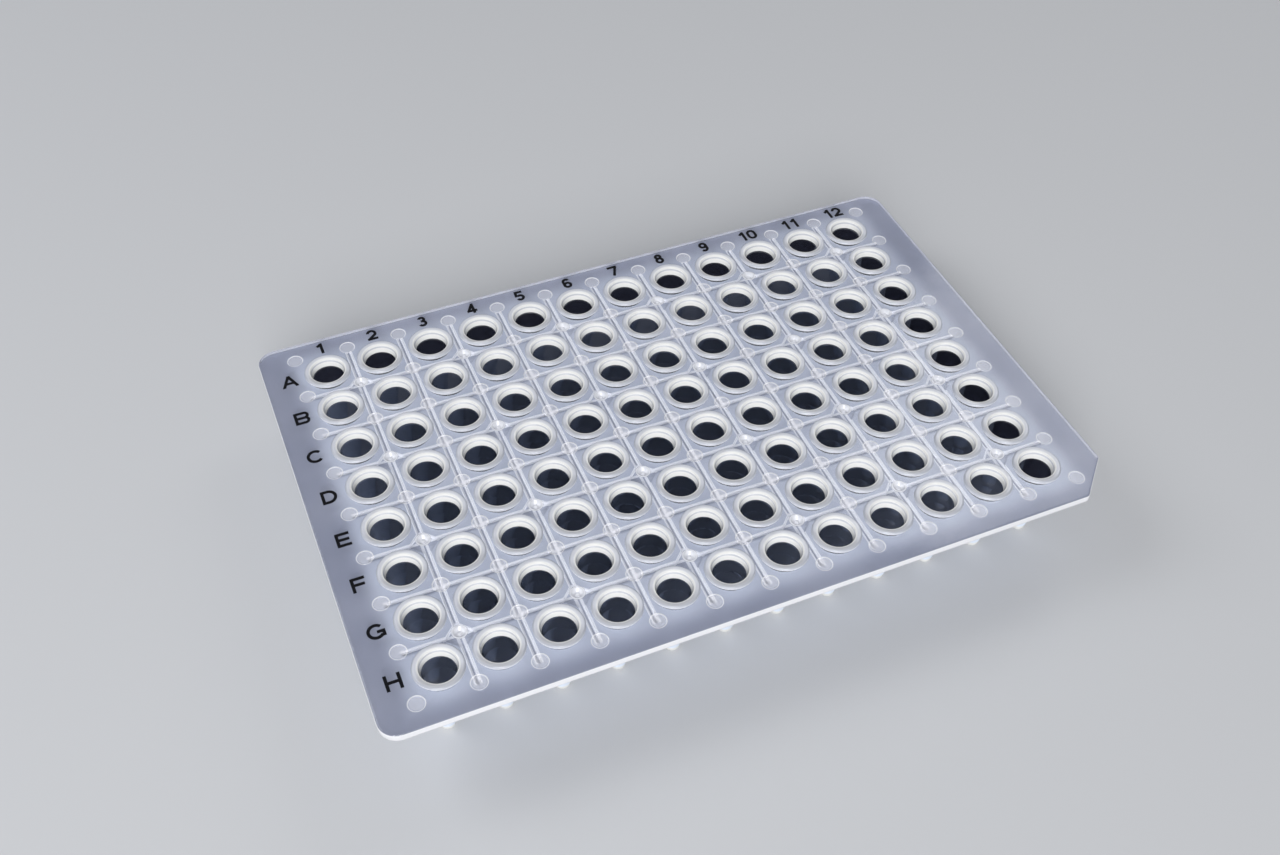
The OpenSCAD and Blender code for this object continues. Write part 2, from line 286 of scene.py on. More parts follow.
class StageSetup(bpy.types.PropertyGroup):
    """Floor, lamps and camera. A lamp's place is given from the middle of the plate's top."""

    floor_colour: colour("Floor Colour", "Colour of the floor", (0.60, 0.61, 0.63))
    floor_roughness: share("Floor Roughness", "Roughness of the floor", 0.6)
    floor_reach: length("Floor Reach", "From the middle of the floor to its edges", 2500)
    daylight: number("Daylight", "Even light from all round", 0.25)
    daylight_tint: colour("Daylight Tint", "Colour of that light", (0.94, 0.96, 1.0))

    key_offset: point("Key Offset", "Place of the main lamp", (-0.3, -0.7, 0.5))
    key_size: extent("Key Size", "Width and height of the main lamp", (0.5, 0.5))
    key_power: power("Key Power", "Power of the main lamp", 6.9)
    side_offset: point("Side Offset", "Place of the lamp at the back left", (-0.5, 0.3, 0.5))
    side_size: extent("Side Size", "Width and height of the lamp at the back left", (0.4, 0.4))
    side_power: power("Side Power", "Power of the lamp at the back left", 1.8)
    side_tint: colour("Side Tint", "Colour of the lamp at the back left", (0.97, 0.98, 1.0))
    sheen_offset: point("Sheen Offset", "Place of the lamp that the deck mirrors", (0.42, 0.27, 0.395))
    sheen_size: extent("Sheen Size", "Width and height of the lamp that the deck mirrors", (0.26, 0.3))
    sheen_power: power("Sheen Power", "Power of the lamp that the deck mirrors", 0.4)
    low_offset: point("Low Offset", "Place of the low lamp, under the floor", (-0.1, -0.85, -0.13))
    low_size: extent("Low Size", "Width and height of the low lamp", (1.2, 0.1))
    low_power: power("Low Power", "Power of the low lamp", 1.6)

    target: point("Target", "Point that the camera looks at", (-0.00518, 0.00128, 0.01316))
    distance: length("Camera Distance", "From the camera to that point", 225.1)
    azimuth: angle("Azimuth", "Turn of the view about Z", -23.52)
    elevation: angle("Elevation", "Height of the view", 47.24)
    roll: angle("Roll", "Tilt of the camera", 1.02)
    lens: number("Lens", "Focal length in millimetres on a 36 mm sensor", 38.56, 1)


# ---- Shaping ----


def linked(name, mesh):
    """An object in the scene with a bmesh's shape."""
    data = bpy.data.meshes.new(name)
    mesh.to_mesh(data)
    mesh.free()
    piece = bpy.data.objects.new(name, data)
    bpy.context.scene.collection.objects.link(piece)
    return piece


def block(size, centre):
    """A box of a size about a centre."""
    mesh = bmesh.new()
    bmesh.ops.create_cube(mesh, size=1, matrix=Matrix.Translation(centre) @ Matrix.Diagonal((*size, 1)))
    return mesh


def round_edges(mesh, edges, radius, steps):
    """Rounds edges of a body."""
    bmesh.ops.bevel(
        mesh, geom=edges, offset=radius, offset_type="OFFSET", segments=steps, profile=0.5,
        affect="EDGES", material=-1,
    )


def upright(mesh):
    """The edges of a mesh that stand along Z."""
    return [edge for edge in mesh.edges if abs(edge.verts[0].co.z - edge.verts[1].co.z) > SNAP]


def level(mesh, height):
    """The edges of a mesh that lie at a height."""
    return [edge for edge in mesh.edges if all(abs(end.co.z - height) < SNAP for end in edge.verts)]


def disc(diameter, low, high, steps, top_diameter=None):
    """A round or conical body on Z, from one height to another."""
    mesh = bmesh.new()
    bmesh.ops.create_cone(
        mesh, cap_ends=True, segments=steps, radius1=diameter / 2,
        radius2=(diameter if top_diameter is None else top_diameter) / 2,
        depth=high - low, matrix=Matrix.Translation((0, 0, (low + high) / 2)),
    )
    return mesh


def spun(points, arcs, steps):
    """Turns a half section of (radius, height) corners about Z.

    arcs gives (corner, radius, steps) for each corner to round.
    """
    mesh = bmesh.new()
    corners = [mesh.verts.new((radius, 0, height)) for radius, height in points]
    for ends in zip(corners, corners[1:]):
        mesh.edges.new(ends)
    for index, radius, arc_steps in arcs:
        corner = corners[index]
        sides = [edge.other_vert(corner).co - corner.co for edge in corner.link_edges]
        turn = math.pi - sides[0].angle(sides[1])
        bmesh.ops.bevel(
            mesh, geom=[corner], offset=radius * math.tan(turn / 2), offset_type="OFFSET",
            segments=arc_steps, profile=0.5, affect="VERTICES", material=-1,
        )
    bmesh.ops.spin(
        mesh, geom=mesh.verts[:] + mesh.edges[:], cent=(0, 0, 0), axis=(0, 0, 1),
        angle=math.tau, steps=steps, use_merge=True,
    )
    bmesh.ops.remove_doubles(mesh, verts=mesh.verts[:], dist=SNAP)
    bmesh.ops.recalc_face_normals(mesh, faces=mesh.faces[:])
    return mesh


def repeated(mesh, places):
    """Puts a copy of the whole mesh at each (x, y) place."""
    pattern = mesh.verts[:] + mesh.edges[:] + mesh.faces[:]
    original = mesh.verts[:]
    for x, y in places[1:]:
        copy = bmesh.ops.duplicate(mesh, geom=pattern)["geom"]
        points = [item for item in copy if isinstance(item, bmesh.types.BMVert)]
        bmesh.ops.translate(mesh, verts=points, vec=(x, y, 0))
    bmesh.ops.translate(mesh, verts=original, vec=(*places[0], 0))
    return mesh


def evaluated(piece):
    """Replaces a piece's mesh with the result of its modifiers."""
    depsgraph = bpy.context.evaluated_depsgraph_get()
    result = bpy.data.meshes.new_from_object(piece.evaluated_get(depsgraph))
    before = piece.data
    piece.modifiers.clear()
    piece.data = result
    bpy.data.meshes.remove(before)


def combine(piece, operation, mesh):
    """Joins a body to a piece with UNION, or cuts it away with DIFFERENCE."""
    body = linked("tool", mesh)
    modifier = piece.modifiers.new(operation, "BOOLEAN")
    modifier.operation = operation
    modifier.solver = "MANIFOLD"
    modifier.object = body
    evaluated(piece)
    data = body.data
    bpy.data.objects.remove(body)
    bpy.data.meshes.remove(data)


# ---- The moulding ----


class Layout:
    """Places and heights that several parts of the moulding share."""

    def __init__(self, grid, deck, well):
        self.column_x = [(column - (grid.columns - 1) / 2) * grid.pitch for column in range(grid.columns)]
        self.row_y = [((grid.rows - 1) / 2 - row) * grid.pitch for row in range(grid.rows)]
        self.rim_top = PLATE_HIGH.z
        self.deck_top = self.rim_top - well.rim_height
        self.deck_bottom = self.deck_top - deck.thickness
        self.wells = [(x, y) for x in self.column_x for y in self.row_y]
        half = grid.pitch / 2
        self.column_gaps = [x + half for x in self.column_x[:-1]]
        self.row_gaps = [y - half for y in self.row_y[:-1]]
        self.gates = [(x, y) for x in self.column_gaps[::2] for y in self.row_gaps[::2]]
        crossing_x = [self.column_x[0] - half, *self.column_gaps, self.column_x[-1] + half]
        crossing_y = [self.row_y[0] + half, *self.row_gaps, self.row_y[-1] - half]
        crossings = [(x, y) for x in crossing_x for y in crossing_y]
        self.pin_marks = [place for place in crossings if place not in self.gates]


def cut_across(mesh, axis, places):
    """Cuts every face of a mesh in two at each place along an axis."""
    across = Vector([float(axis == name) for name in "XYZ"])
    for place in places:
        everything = mesh.verts[:] + mesh.edges[:] + mesh.faces[:]
        bmesh.ops.bisect_plane(mesh, geom=everything, plane_co=place * across, plane_no=across)


def deck_body(deck, layout):
    """The flat deck with three round corners, a cut corner and rounded edges."""
    low = Vector((PLATE_LOW.x, PLATE_LOW.y, layout.deck_bottom))
    high = Vector((PLATE_HIGH.x, PLATE_HIGH.y, layout.deck_top))
    mesh = block(high - low, (low + high) / 2)

    def near_cut(edge):
        middle = (edge.verts[0].co + edge.verts[1].co) / 2
        return middle.x > high.x - 2 * deck.corner_cut and middle.y < low.y + 2 * deck.corner_cut

    round_corners = [edge for edge in upright(mesh) if not near_cut(edge)]
    round_edges(mesh, round_corners, deck.corner_radius, CORNER_STEPS)
    round_edges(mesh, [edge for edge in upright(mesh) if near_cut(edge)], deck.corner_cut, 1)
    # The outline turns by 45 degrees at each end of the cut.
    cut_ends = [edge for edge in upright(mesh) if near_cut(edge)]
    round_edges(mesh, cut_ends, deck.cut_radius * math.tan(math.pi / 8), SMALL_STEPS)
    outline = level(mesh, layout.deck_top) + level(mesh, layout.deck_bottom)
    round_edges(mesh, outline, deck.edge_radius, EDGE_STEPS)
    cut_across(mesh, "X", layout.column_gaps)
    cut_across(mesh, "Y", layout.row_gaps)
    return mesh


def rib_bodies(deck, layout, places, reach, lift):
    """Ribs with round ends, one centred at each place. reach is their length along X and Y."""
    bottom = layout.deck_bottom - deck.rib_depth + lift
    top = layout.deck_bottom + EMBED
    mesh = block((*reach, top - bottom), (0, 0, (top + bottom) / 2))
    round_edges(mesh, upright(mesh), deck.rib_width / 2 - SNAP, RIB_END_STEPS)
    bmesh.ops.remove_doubles(mesh, verts=mesh.verts[:], dist=4 * SNAP)
    round_edges(mesh, level(mesh, bottom), deck.rib_edge, SMALL_STEPS)
    return repeated(mesh, places)


def pad_bodies(deck, layout):
    """Square pads under the gates, turned to point along the ribs."""
    bottom = layout.deck_bottom - deck.rib_depth + 2 * HAIR
    mesh = disc(2 * deck.pad_reach, bottom, layout.deck_bottom + EMBED, steps=4)
    round_edges(mesh, level(mesh, bottom), deck.rib_edge, SMALL_STEPS)
    return repeated(mesh, layout.gates)


def cone_radius(well, height):
    """The cone's outer radius at a height."""
    return well.shoulder_diameter / 2 - (well.cone_height - height) * math.tan(well.cone_angle / 2)


def well_outsides(well, layout, deck):
    """The outsides of all the wells as solid bodies, from their tips to the tops of their rims."""
    neck = well.neck_diameter / 2
    rim = well.rim_diameter / 2
    shoulder = well.shoulder_diameter / 2
    middle = layout.deck_bottom + deck.thickness / 2
    section = [
        (0, 0), (cone_radius(well, 0), 0), (shoulder, well.cone_height),
        (neck, well.cone_height + neck - shoulder), (neck, layout.deck_bottom),
        (neck + well.root_radius, layout.deck_bottom), (neck + well.root_radius, middle),
        (rim, middle), (rim, layout.rim_top), (0, layout.rim_top),
    ]
    arcs = [(corner, radius, SMALL_STEPS) for corner, radius in (
        (1, well.tip_radius), (4, well.root_radius), (8, well.rim_radius),
    )]
    return repeated(spun(section, arcs, well.steps), layout.wells)


def well_insides(well, layout):
    """The spaces inside all the wells, carried past the tops of their rims."""
    half_angle = well.cone_angle / 2
    wall = well.cone_wall / math.cos(half_angle)
    bore = well.bore_diameter / 2
    mouth = well.mouth_diameter / 2
    land = well.land_diameter / 2
    cone_end = well.cone_height + (bore - cone_radius(well, well.cone_height) + wall) / math.tan(half_angle)
    past = layout.rim_top + EMBED
    section = [
        (0, well.floor_thickness), (cone_radius(well, well.floor_thickness) - wall, well.floor_thickness),
        (bore, cone_end), (bore, layout.deck_top - well.taper_depth),
        (mouth, layout.rim_top - well.bevel_depth), (land, layout.rim_top), (land, past), (0, past),
    ]
    return repeated(spun(section, [(1, well.floor_radius, SMALL_STEPS)], well.steps), layout.wells)


def dish_bodies(deck, layout):
    """The dishes in the deck at the gates."""
    floor = layout.deck_top - deck.dish_depth
    slope = (deck.dish_diameter - deck.dish_floor) / deck.dish_depth
    mesh = disc(
        deck.dish_floor, floor, layout.deck_top + EMBED, DISH_STEPS,
        top_diameter=deck.dish_diameter + slope * EMBED,
    )
    return repeated(mesh, layout.gates)


def mark_bodies(deck, layout):
    """The shallow recesses that the moulding pins leave."""
    floor = layout.deck_top - deck.mark_depth
    mesh = disc(deck.mark_diameter, floor, layout.deck_top + EMBED, MARK_STEPS)
    return repeated(mesh, layout.pin_marks)


def stub_bodies(deck, layout):
    """The gates' broken stubs."""
    floor = layout.deck_top - deck.dish_depth
    mesh = disc(deck.stub_diameter, floor - EMBED / 3, floor + deck.stub_height, STUB_STEPS)
    round_edges(mesh, level(mesh, floor + deck.stub_height), deck.stub_height / 2, STUB_EDGE_STEPS)
    return repeated(mesh, layout.gates)


def smooth(piece):
    """Shades a piece smooth across its gentle edges, and keeps its flats flat."""
    mesh = bmesh.new()
    mesh.from_mesh(piece.data)
    bmesh.ops.dissolve_degenerate(mesh, edges=mesh.edges[:], dist=5 * SNAP)
    mesh.to_mesh(piece.data)
    mesh.free()
    piece.data.shade_smooth()
    piece.data.set_sharp_from_angle(angle=SHARP_ANGLE)
    weighted = piece.modifiers.new("flat faces", "WEIGHTED_NORMAL")
    weighted.keep_sharp = True
    weighted.weight = FACE_WEIGHT
    evaluated(piece)


# ---- Materials ----


class Nodes:
    """A material's node tree, with short ways to add to it."""

    def __init__(self, name):
        self.material = bpy.data.materials.new(name)
        self.material.use_nodes = True
        self.tree = self.material.node_tree
        self.shader = self.tree.nodes["Principled BSDF"]

    def add(self, kind, inputs=(), **settings):
        """Adds a node. inputs gives a value or another node's output for each input, by name or number."""
        node = self.tree.nodes.new(kind)
        for key, value in settings.items():
            setattr(node, key, value)
        for socket, value in dict(inputs).items():
            self.feed(node.inputs[socket], value)
        return node

    def feed(self, socket, value):
        """Sets a socket to a value or links it to another node's output."""
        if isinstance(value, bpy.types.NodeSocket):
            self.tree.links.new(value, socket)
        else:
            socket.default_value = value

    def math(self, operation, *values):
        """A number worked out from others."""
        return self.add("ShaderNodeMath", enumerate(values), operation=operation).outputs[0]

    def ramp(self, value, start, end, low=0.0, high=1.0):
        """A smooth step of a value from low at start to high at end."""
        node = self.add(
            "ShaderNodeMapRange",
            {"Value": value, "From Min": start, "From Max": end, "To Min": low, "To Max": high},
            interpolation_type="SMOOTHSTEP",
        )
        return node.outputs["Result"]

    def noise(self, place, size, detail):
        """A soft random pattern with blots of about a size."""
        inputs = {"Vector": place, "Scale": 1 / size, "Detail": detail}
        return self.add("ShaderNodeTexNoise", inputs).outputs["Fac"]

    def number(self, factor, first, second):
        """A number between two numbers."""
        return self.add("ShaderNodeMix", {"Factor": factor, "A": first, "B": second}).outputs["Result"]

    def blend(self, factor, first, second):
        """A colour between two colours."""
        node = self.add("ShaderNodeMix", data_type="RGBA")
        self.feed(node.inputs["Factor"], factor)
        self.feed(node.inputs["A"], first)
        self.feed(node.inputs["B"], second)
        return node.outputs["Result"]

    def all_of(self, *shares):
        """The product of shares: 1 only where all of them are 1."""
        product = shares[0]
        for factor in shares[1:]:
            product = self.math("MULTIPLY", product, factor)
        return product

    def any_of(self, *shares):
        """The largest of shares: 1 where any of them is 1."""
        largest = shares[0]
        for rival in shares[1:]:
            largest = self.math("MAXIMUM", largest, rival)
        return largest

    def other(self, part):
        """The rest of a share."""
        return self.math("SUBTRACT", 1.0, part)

    def parts(self, vector):
        """The three parts of a vector."""
        return self.add("ShaderNodeSeparateXYZ", {"Vector": vector}).outputs

    def distance(self, first, second):
        """A distance in the plane from its two parts."""
        squares = self.math("MULTIPLY_ADD", first, first, self.math("MULTIPLY", second, second))
        return self.math("SQRT", squares)

    def within(self, value, reach):
        """1 up to a distance either side of the middle."""
        return self.ramp(self.math("ABSOLUTE", value), reach + EDGE, reach)

    def let_lamps_through(self, entering, leaving):
        """Lets one share of each lamp's light pass a face where it enters, and another where it leaves."""
        from_behind = self.add("ShaderNodeNewGeometry").outputs["Backfacing"]
        passed = self.number(from_behind, entering, leaving)
        clear = self.add("ShaderNodeBsdfTransparent", {"Color": passed}).outputs[0]
        lamp_ray = self.add("ShaderNodeLightPath").outputs["Is Shadow Ray"]
        mixed = self.add("ShaderNodeMixShader", {0: lamp_ray, 1: self.shader.outputs[0], 2: clear})
        self.tree.links.new(mixed.outputs[0], self.tree.nodes["Material Output"].inputs["Surface"])


class Zones:
    """The parts of the moulding as shares of its surface: 1 on a part, 0 off it, with a soft edge."""

    def __init__(self, nodes, finish, grid, deck, well, layout):
        self.nodes = nodes
        coordinates = nodes.add("ShaderNodeTexCoord").outputs
        self.place = coordinates["Object"]
        self.x, self.y, self.height = nodes.parts(self.place)
        upward = nodes.math("ABSOLUTE", nodes.parts(coordinates["Normal"])[2])
        self.steep = nodes.ramp(upward, *STEEPNESS)
        self.across = self.from_well(self.x, layout.column_x[-1], grid.pitch)
        self.along = self.from_well(self.y, layout.row_y[0], grid.pitch)
        self.radius = nodes.distance(self.across, self.along)
        self.gap_across = self.from_gap(self.across, grid.pitch)
        self.gap_along = self.from_gap(self.along, grid.pitch)
        self.upper = nodes.ramp(self.height, layout.deck_bottom + EDGE, layout.deck_bottom + 3 * EDGE)
        self.find_wells(finish, well, layout)
        self.find_gates(finish, grid, deck, layout)
        self.find_marks(deck)
        self.find_ribs(finish, deck, layout)
        self.find_steps(finish, layout)
        self.find_deck(finish)

    def from_well(self, value, last, pitch):
        """Distance along one axis from the nearest well."""
        nodes = self.nodes
        steps = nodes.math("ROUND", nodes.math("DIVIDE", nodes.math("SUBTRACT", value, last), pitch))
        nearest = nodes.math("MULTIPLY_ADD", steps, pitch, last)
        kept = nodes.math("MINIMUM", nodes.math("MAXIMUM", nearest, -last), last)
        return nodes.math("SUBTRACT", value, kept)

    def from_gap(self, value, pitch):
        """Distance from the middle of the gap between two wells."""
        nodes = self.nodes
        return nodes.math("ABSOLUTE", nodes.math("SUBTRACT", nodes.math("ABSOLUTE", value), pitch / 2))

    def find_wells(self, finish, well, layout):
        """Outside and inside of the wells with the painted shade inside them, their tips with a painted
        glow, and the rims with their slopes and mouths, where a band holds a painted shadow and reflection.
        """
        nodes = self.nodes
        root = well.neck_diameter / 2 + well.root_radius
        self.apart = nodes.ramp(self.radius, root - EDGE, root)
        on_well = nodes.other(self.apart)
        below_deck = nodes.ramp(self.height, layout.deck_bottom, layout.deck_bottom - EDGE)
        self.hanging = nodes.all_of(below_deck, on_well)
        # The well tips are whitened: a painted glow.
        near_tip = nodes.ramp(self.height, 3 * well.floor_thickness, 2 * well.floor_thickness)
        self.tip = nodes.all_of(near_tip, on_well)

        slant = math.tan(well.cone_angle / 2)
        in_cone = nodes.math("MULTIPLY_ADD", self.height, slant, cone_radius(well, 0) - well.cone_wall / 2)
        in_neck = (well.neck_diameter + well.bore_diameter) / 4
        within_wall = nodes.math("SUBTRACT", nodes.math("MINIMUM", in_cone, in_neck), self.radius)
        # The inside of each thin wall below the deck takes the near-black painted shade.
        dark_top = layout.deck_bottom + finish.dark_rise
        in_dark = nodes.ramp(self.height, dark_top, dark_top - EDGE)
        self.dark = nodes.all_of(in_dark, on_well, nodes.ramp(within_wall, 0.0, EDGE))
        # Past row A and the last column the walls look out of the grid, and their painted shade is darker
        # there.
        past_rows = nodes.ramp(self.y, layout.row_y[0], layout.row_y[0] + EDGE)
        past_columns = nodes.ramp(self.x, layout.column_x[-1], layout.column_x[-1] + EDGE)
        self.outward = nodes.any_of(past_rows, past_columns)

        rim = well.rim_diameter / 2
        self.rim = nodes.all_of(self.upper, nodes.ramp(self.radius, rim + EDGE, rim - EDGE))
        slope_start = rim - well.rim_radius
        self.slope = nodes.all_of(self.rim, nodes.ramp(self.radius, slope_start, slope_start + 2 * EDGE))
        in_land = nodes.ramp(self.radius, well.land_diameter / 2, well.mouth_diameter / 2)
        self.mouth = nodes.all_of(self.rim, in_land)
        # A band of the mouth below the deck's face is kept clearer: a painted shadow of the rib behind and
        # a painted reflection of the bevel.
        low, high = layout.deck_top - finish.painted_band_depth, layout.deck_top
        self.painted_band = nodes.all_of(
            nodes.ramp(self.height, low, low + 2 * EDGE), nodes.ramp(self.height, high, high - 2 * EDGE)
        )

    def find_gates(self, finish, grid, deck, layout):
        """The hazy plastic round each gate, and the distance from the nearest gate."""
        nodes = self.nodes
        self.from_gates = [
            nodes.math("PINGPONG", nodes.math("SUBTRACT", value, start), grid.pitch)
            for value, start in zip((self.x, self.y), layout.gates[0])
        ]
        self.gate_far = nodes.distance(*self.from_gates)
        self.in_columns = nodes.within(self.x, layout.column_x[-1])
        self.in_rows = nodes.within(self.y, layout.row_y[0])
        near = nodes.ramp(self.gate_far, finish.gate_reach, finish.gate_reach - 4 * EDGE)
        floor = layout.deck_top - deck.dish_depth
        above = nodes.ramp(self.height, floor - 2 * EDGE, floor - EDGE)
        self.gate = nodes.all_of(near, self.in_columns, self.in_rows, above)

    def find_marks(self, deck):
        """The pin marks and the painted highlight ring round each of them."""
        nodes = self.nodes
        mark_far = nodes.distance(self.gap_across, self.gap_along)
        radius = deck.mark_diameter / 2
        clear_of_gate = nodes.ramp(self.gate_far, deck.mark_diameter, deck.mark_diameter + EDGE)
        outside = nodes.ramp(mark_far, radius - 4 * EDGE, radius - 2 * EDGE)
        inside = nodes.ramp(mark_far, radius + 2 * EDGE, radius)
        self.mark_highlight = nodes.all_of(outside, inside, self.upper, clear_of_gate)
        self.mark = nodes.all_of(nodes.ramp(mark_far, radius, radius - 6 * EDGE), self.upper, clear_of_gate)

    def find_ribs(self, finish, deck, layout):
        """The painted highlight and the painted shade along each rib and gate pad, and the middle of the
        ribs.
        """
        nodes = self.nodes
        beneath = nodes.all_of(nodes.other(self.upper), self.apart)
        along_columns = nodes.within(self.y, layout.row_y[0] + deck.rib_overrun)
        along_rows = nodes.within(self.x, layout.column_x[-1] + deck.rib_overrun)

        def beside(distance, half_width):
            """1 on a narrow line along a side."""
            start = half_width - finish.line_inset
            end = start + finish.line_width
            return nodes.all_of(
                nodes.ramp(distance, start - EDGE, start), nodes.ramp(distance, end + EDGE, end)
            )

        rib_side = deck.rib_width / 2
        by_columns = nodes.all_of(beside(self.gap_across, rib_side), along_columns, self.in_columns)
        by_rows = nodes.all_of(beside(self.gap_along, rib_side), along_rows, self.in_rows)
        pad_distance = nodes.math("ADD", *self.from_gates)
        by_gates = nodes.all_of(beside(pad_distance, deck.pad_reach), self.in_columns, self.in_rows)
        by_either = nodes.any_of(by_rows, by_gates)
        # Row ribs and pads carry the painted highlight on their side towards row A and the painted shade on
        # their side towards the front.
        beyond = nodes.ramp(self.along, EDGE, -EDGE)
        self.bright = nodes.all_of(nodes.any_of(by_columns, nodes.all_of(by_either, beyond)), beneath)
        self.shaded = nodes.all_of(by_either, nodes.other(beyond), beneath)
        to_middle = nodes.math("MINIMUM", self.gap_across, self.gap_along)
        middle = nodes.ramp(to_middle, 4 * EDGE, 2 * EDGE)
        self.rib_middle = nodes.all_of(middle, along_rows, along_columns, beneath)

    def find_steps(self, finish, layout):
        """The deck's outer edge, and the steep little faces elsewhere on top of the deck, which carry a
        painted highlight.
        """
        nodes = self.nodes
        strip_x = PLATE_HIGH.x - finish.edge_reach
        strip_y = PLATE_HIGH.y - finish.edge_reach
        at_edge = nodes.other(nodes.all_of(nodes.within(self.x, strip_x), nodes.within(self.y, strip_y)))
        above = nodes.ramp(self.height, layout.deck_bottom - EDGE, layout.deck_bottom)
        self.outer_edge = nodes.all_of(self.steep, at_edge, above)
        elsewhere = nodes.other(nodes.any_of(at_edge, self.gate, self.rim))
        self.steps = nodes.all_of(self.steep, self.apart, self.upper, elsewhere)

    def find_deck(self, finish):
        """How much of the painted glow round the wells shows: most by the wells, least in the open border.
        """
        nodes = self.nodes
        by_well = nodes.ramp(self.radius, finish.fade_end, finish.fade_start)
        from_grid = nodes.any_of(nodes.math("ABSOLUTE", self.across), nodes.math("ABSOLUTE", self.along))
        in_grid = nodes.ramp(from_grid, finish.fade_end, finish.fade_start)
        in_border = nodes.all_of(by_well, finish.border_glow)
        self.paler = nodes.number(in_grid, in_border, nodes.number(by_well, finish.gap_glow, 1.0))


def solid(paint):
    """A colour setting as a node takes it, with full opacity."""
    return (*paint, 1)


def plastic_haze(nodes, zones, finish):
    """Share of the light that the plastic scatters, laid on zone by zone."""
    from_behind = nodes.add("ShaderNodeNewGeometry").outputs["Backfacing"]
    haze = nodes.number(zones.upper, finish.under_haze, finish.deck_haze)
    for zone, amount in (
        (zones.rim, finish.rim_haze),
        (zones.slope, finish.slope_haze),
        (zones.outer_edge, finish.edge_haze),
        (zones.mouth, nodes.number(zones.painted_band, finish.mouth_haze, finish.painted_band_haze)),
        (nodes.any_of(zones.steps, zones.bright), finish.step_haze),
        (zones.gate, finish.gate_haze),
        (zones.mark, finish.mark_haze),
        (zones.mark_highlight, finish.mark_highlight_haze),
        (zones.hanging, nodes.number(from_behind, finish.wall_haze, finish.inner_haze)),
        (zones.dark, finish.inner_haze),
        (zones.tip, finish.gate_haze),
    ):
        haze = nodes.number(zone, haze, amount)
    return haze


def plastic_tint(nodes, zones, finish):
    """Colour of the plastic, laid on zone by zone, painted glow, highlights and shade among them."""
    border = solid(finish.border_colour)
    rim = solid(finish.rim_colour)
    mouth = solid(finish.mouth_colour)
    white = solid(finish.white)
    # The painted shade inside the wells, darker where the walls face out of the grid.
    inside = nodes.blend(zones.outward, solid(finish.inner_shade_colour), solid(finish.outward_shade_colour))
    shaded = nodes.all_of(zones.shaded, finish.shaded_depth)
    rib_middle = nodes.all_of(zones.rib_middle, finish.middle_depth)
    patches = nodes.ramp(nodes.noise(zones.place, finish.flow_size, 3), *FLOW_RANGE)
    thick = nodes.all_of(nodes.other(zones.hanging), nodes.number(zones.rim, 1.0, finish.rim_flow))
    # The deck is paler round the wells: a painted glow.
    tint = nodes.blend(zones.paler, border, solid(finish.deck_colour))
    for zone, paint in (
        (nodes.any_of(shaded, rib_middle), border),
        (zones.rim, rim),
        (zones.slope, solid(finish.slope_colour)),
        (zones.outer_edge, solid(finish.edge_colour)),
        (nodes.any_of(zones.gate, zones.mark), rim),
        # The painted band stays out of the mouth's white.
        (nodes.all_of(zones.mouth, nodes.other(zones.painted_band)), mouth),
        (zones.hanging, solid(finish.wall_colour)),
        # Painted shade inside the thin walls.
        (zones.dark, inside),
        # Painted glow at the well tips.
        (zones.tip, mouth),
        # Painted highlights along the ribs, at the steep little faces and round the pin marks.
        (nodes.any_of(zones.bright, zones.steps, zones.mark_highlight), white),
        (nodes.all_of(patches, thick, finish.flow_strength), white),
    ):
        tint = nodes.blend(zone, tint, paint)
    return tint


def plastic(finish, grid, deck, well, layout):
    """Milky clear plastic: glossy and clear on top, hazy beneath, white at its collars, with painted
    highlights at its steps and ribs and painted shade inside its wells.
    """
    nodes = Nodes("milky_plastic")
    zones = Zones(nodes, finish, grid, deck, well, layout)
    grain = nodes.noise(zones.place, finish.grain_size, 2)
    least, most = (finish.roughness * factor for factor in ROUGHNESS_SPREAD)
    bump = {"Height": grain, "Strength": finish.grain_strength, "Distance": finish.grain_depth}
    inputs = nodes.shader.inputs
    nodes.feed(inputs["Base Color"], plastic_tint(nodes, zones, finish))
    nodes.feed(inputs["Transmission Weight"], nodes.other(plastic_haze(nodes, zones, finish)))
    nodes.feed(inputs["Roughness"], nodes.ramp(grain, *GRAIN_RANGE, least, most))
    nodes.feed(inputs["Normal"], nodes.add("ShaderNodeBump", bump).outputs[0])
    nodes.feed(inputs["IOR"], finish.refraction)
    at_wall = nodes.number(zones.dark, finish.wall_entering, finish.inner_entering)
    entering = nodes.number(zones.hanging, finish.entering, at_wall)
    nodes.let_lamps_through(entering, nodes.number(zones.dark, 1.0, finish.inner_entering))
    return nodes.material


def ink(finish):
    """Dry black printing ink."""
    nodes = Nodes("printing_ink")
    nodes.feed(nodes.shader.inputs["Base Color"], solid(finish.colour))
    nodes.feed(nodes.shader.inputs["Roughness"], finish.roughness)
    nodes.feed(nodes.shader.inputs["Specular IOR Level"], finish.gloss)
    return nodes.material


def floor_paint(setup):
    """Plain pale floor."""
    nodes = Nodes("pale_floor")
    nodes.feed(nodes.shader.inputs["Base Color"], solid(setup.floor_colour))
    nodes.feed(nodes.shader.inputs["Roughness"], setup.floor_roughness)
    return nodes.material


# ---- Operators ----


